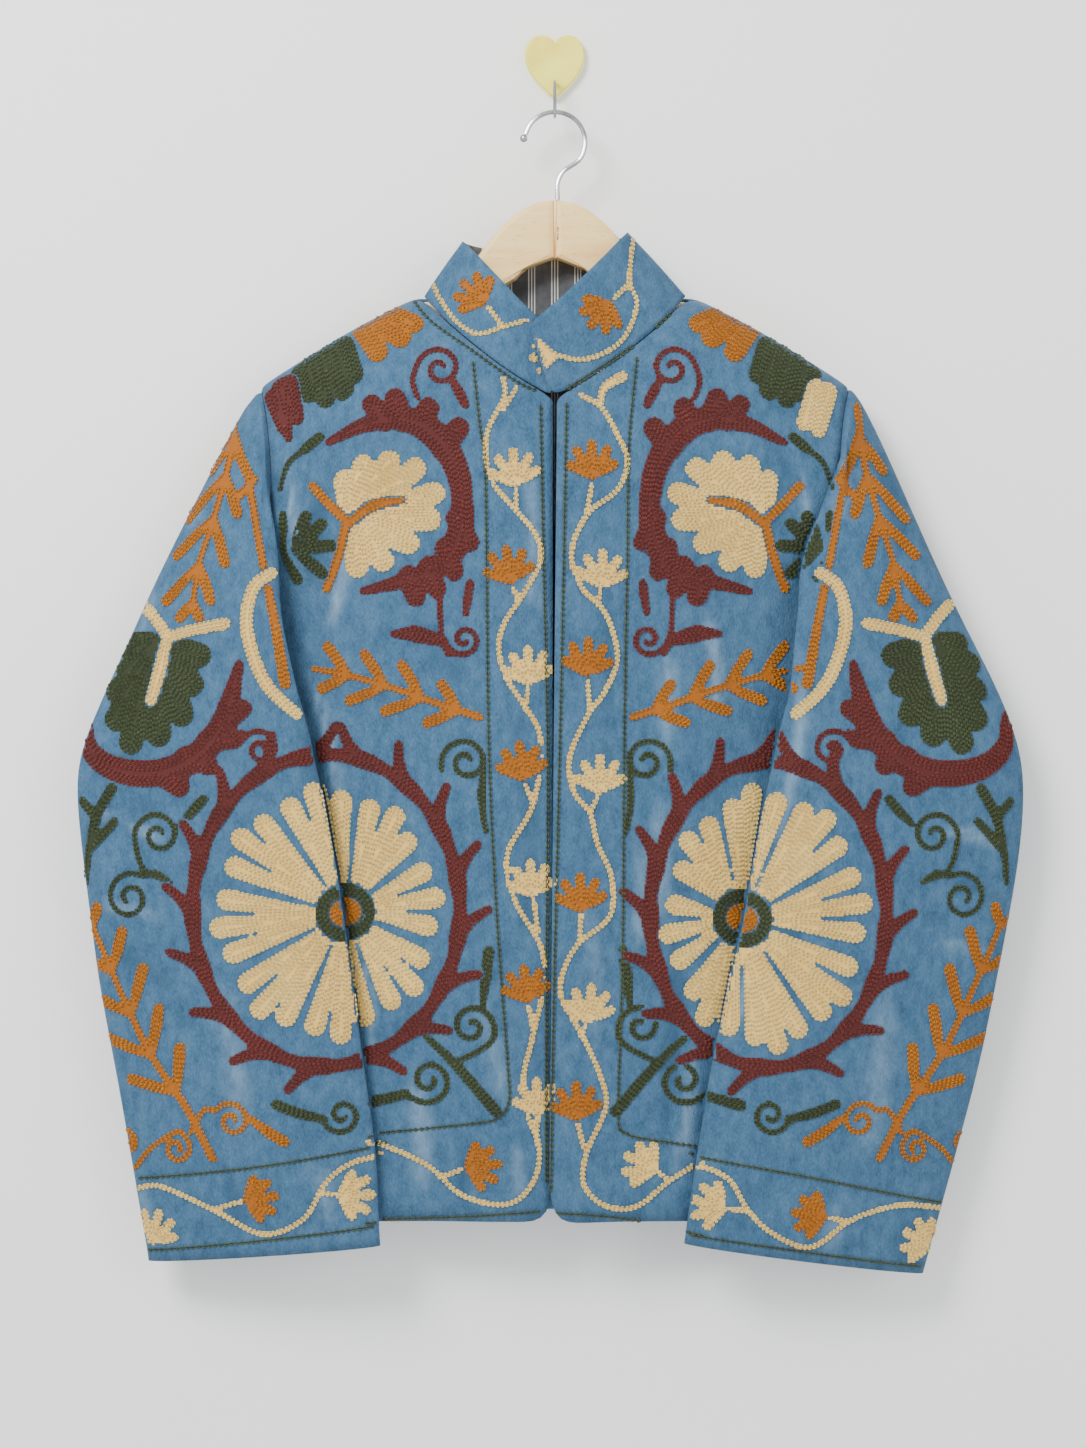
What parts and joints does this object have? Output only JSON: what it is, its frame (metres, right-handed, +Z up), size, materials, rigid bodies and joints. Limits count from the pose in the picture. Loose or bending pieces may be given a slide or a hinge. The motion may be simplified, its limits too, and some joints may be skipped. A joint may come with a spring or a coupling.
{
  "type": "suzani jacket on a hanger",
  "caption": "Short open-front velvet jacket with a stand collar and chain-stitch flowers, on a wooden hanger hung from a small heart-shaped wall hook.",
  "frame": {"origin": "middle of the flat back of the heart-shaped wall plate, on the wall", "axes": "+Y into the wall, the jacket's front faces -Y; +Z up; +X towards the wearer's left, which is the viewer's right"},
  "size_m": [0.6699, 0.079, 0.8831],
  "materials": {
    "velvet": "soft dusty blue velvet with chain-stitch embroidery",
    "stripe": "dark grey cotton with thin white stripes in threes",
    "beech": "pale smooth wood",
    "steel": "bright bent wire",
    "plate": "smooth pale yellow"
  },
  "bodies": {
    "root": {"front_right": "velvet", "front_left": "velvet", "back": "velvet", "sleeve_right": "velvet", "sleeve_left": "velvet", "collar": "velvet", "collar_lining": "stripe", "back_facing": "stripe", "hanger_arm_right": "beech", "hanger_arm_left": "beech", "hanger_hook": "steel", "hook_tip": "steel", "wall_plate": "plate", "wall_hook": "steel"}
  },
  "joints": []
}
